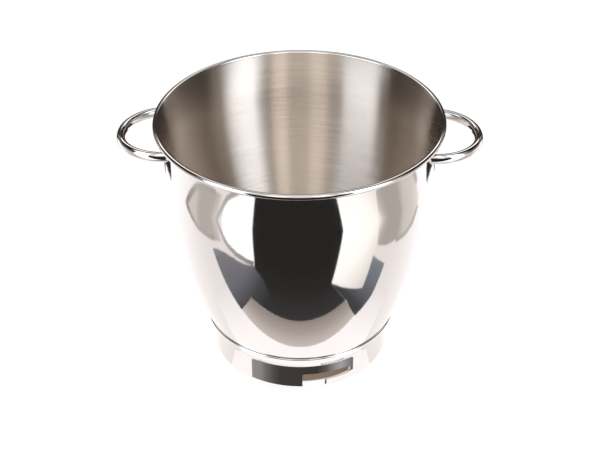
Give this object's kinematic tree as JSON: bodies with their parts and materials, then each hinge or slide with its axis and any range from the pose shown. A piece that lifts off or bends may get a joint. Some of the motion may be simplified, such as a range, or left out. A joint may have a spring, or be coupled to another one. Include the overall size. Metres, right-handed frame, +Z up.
{
  "type": "stand mixer bowl",
  "caption": "Polished stainless steel mixing bowl with a rolled rim, a bar handle on each side and a foot ring with bayonet slots that lock it to a mixer's base.",
  "frame": {"origin": "middle of the foot ring, on the surface that the bowl stands on", "axes": "+Z up along the bowl's own axis, the handles lie along X, and the first bayonet slot faces the front, -Y"},
  "size_m": [0.3088, 0.246, 0.23],
  "materials": {
    "shell_steel": "mirror-polished outside, fine satin turned grain inside",
    "foot_steel": "mirror-polished stainless steel",
    "left_handle_steel": "mirror-polished stainless steel",
    "right_handle_steel": "mirror-polished stainless steel"
  },
  "bodies": {
    "root": {"bowl_shell": "shell_steel", "foot_ring": "foot_steel", "left_handle": "left_handle_steel", "right_handle": "right_handle_steel"}
  },
  "joints": []
}
